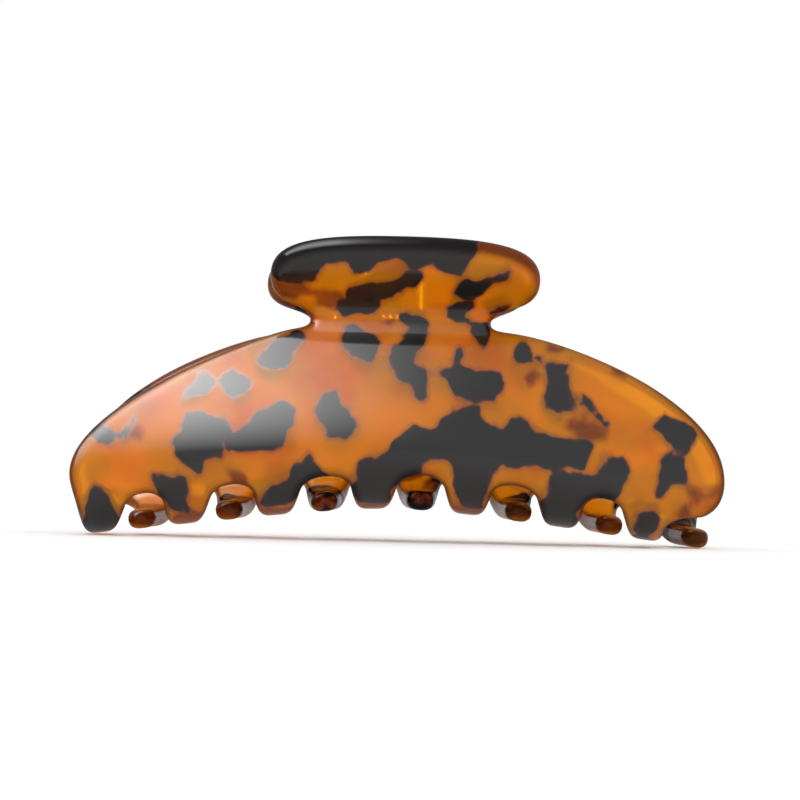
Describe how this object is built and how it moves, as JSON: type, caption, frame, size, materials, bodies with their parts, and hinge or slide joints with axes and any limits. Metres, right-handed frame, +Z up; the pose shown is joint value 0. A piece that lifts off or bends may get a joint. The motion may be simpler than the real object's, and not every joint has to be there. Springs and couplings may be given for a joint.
{
  "type": "claw hair clip",
  "caption": "Sprung claw hair clip: two hinged, bent tortoiseshell acetate halves with an oval finger handle, a domed jaw and interleaving curved teeth.",
  "frame": {"origin": "middle of the bounding box, on the surface the clip stands on", "axes": "+X along the clip, parallel to the hinge pin; +Y from the front half to the rear half; +Z up, from the teeth to the handles"},
  "size_m": [0.111, 0.0352, 0.0519],
  "materials": {
    "tortoiseshell_acetate": "polished",
    "hinge_acetate": "polished",
    "pin_steel": "bright drawn wire",
    "spring_steel": "bright drawn wire"
  },
  "bodies": {
    "front_half": {"front_jaw": "tortoiseshell_acetate", "front_hinge_bar": "hinge_acetate", "hinge_pin": "pin_steel", "torsion_spring": "spring_steel"},
    "rear_half": {"rear_jaw": "tortoiseshell_acetate", "rear_hinge_bar": "hinge_acetate"}
  },
  "joints": [
    {"name": "squeeze", "type": "hinge", "parent": "front_half", "child": "rear_half", "pos_m": [0, 0, 0.038], "axis": [1, 0, 0], "range_deg": [0, 66], "stiffness_Nm_per_rad": 0.15, "springref_deg": -40.11, "deforming": ["torsion_spring"]}
  ]
}
